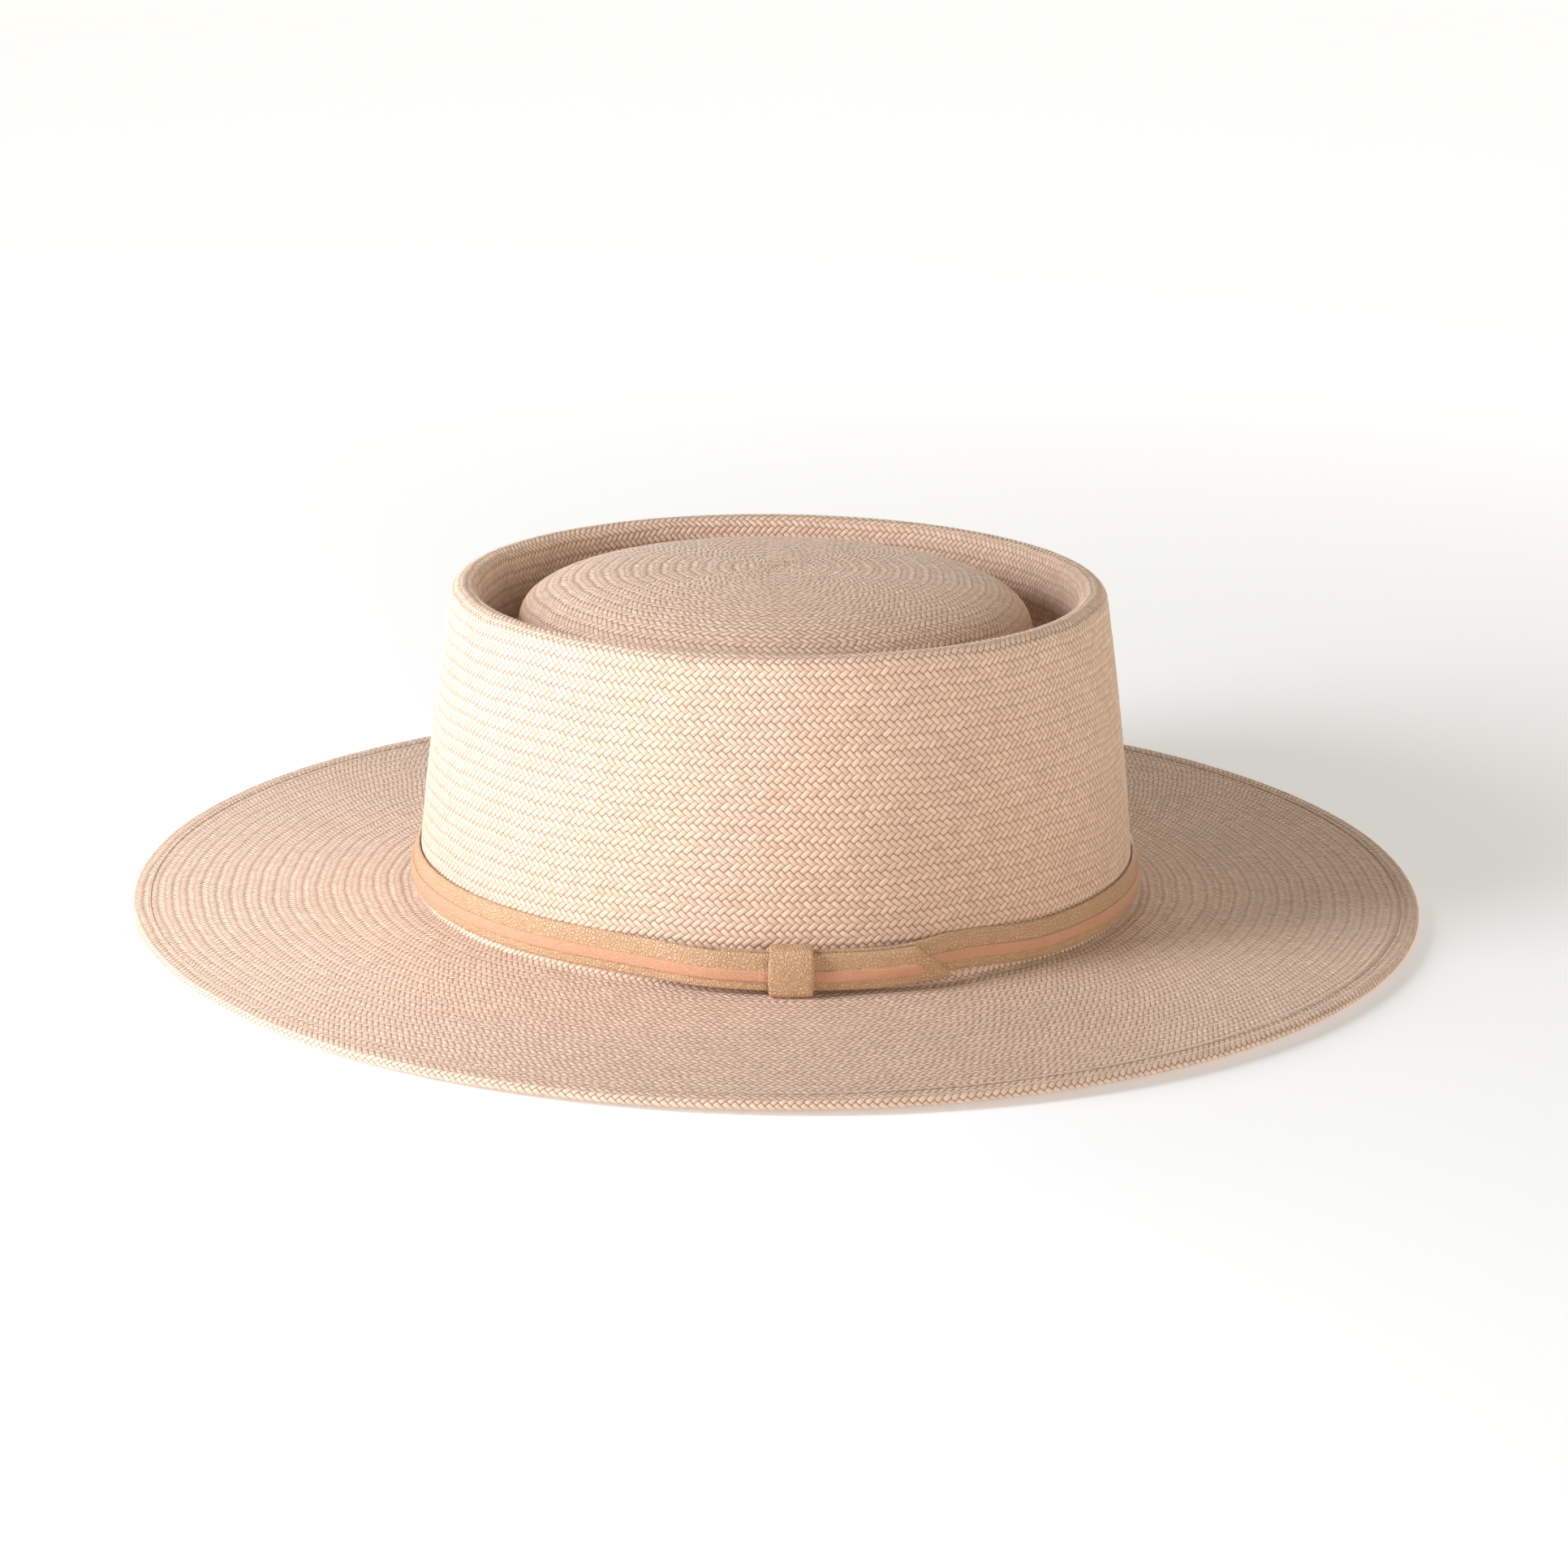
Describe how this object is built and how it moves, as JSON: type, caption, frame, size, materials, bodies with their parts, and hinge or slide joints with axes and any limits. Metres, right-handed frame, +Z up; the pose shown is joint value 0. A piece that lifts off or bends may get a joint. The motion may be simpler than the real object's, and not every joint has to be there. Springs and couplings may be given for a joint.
{
  "type": "panama hat",
  "caption": "Woven straw hat with a wide flat brim, a telescope crown with a sunken ring round a domed top, and a slim leather band with a keeper loop.",
  "frame": {"origin": "under the middle of the hat, on the plane its brim rests on", "axes": "+Z up through the crown, X along the oval's long axis with the wearer's front at -X, keeper side at -Y"},
  "size_m": [0.3646, 0.3292, 0.0958],
  "materials": {
    "straw": "matt woven palm straw",
    "thread": "matt cotton thread",
    "sweat_leather": "smooth matt leather",
    "reed": "plain plastic rod",
    "tape": "woven cotton tape",
    "ribbon": "ribbed ribbon",
    "tan_leather": "fine grained leather",
    "pink_leather": "suede-like leather"
  },
  "bodies": {
    "hat": {"straw_body": "straw", "hem_thread": "thread", "sweatband": "sweat_leather", "sweatband_thread": "thread", "sweatband_reed": "reed", "reed_tape": "tape", "sweatband_seam_tape": "tape", "sweatband_bow": "ribbon"},
    "band": {"band_strap": "tan_leather", "band_stripe": "pink_leather"},
    "keeper": {"band_keeper": "tan_leather"}
  },
  "joints": [
    {"name": "band_lift", "type": "slide", "parent": "hat", "child": "band", "axis": [0, 0, 1], "range_m": [0, 0.1]},
    {"name": "keeper_slide", "type": "hinge", "parent": "band", "child": "keeper", "pos_m": [0, 0.03492, 0.0105], "axis": [0, 0, 1], "range_deg": [-3, 10]}
  ]
}
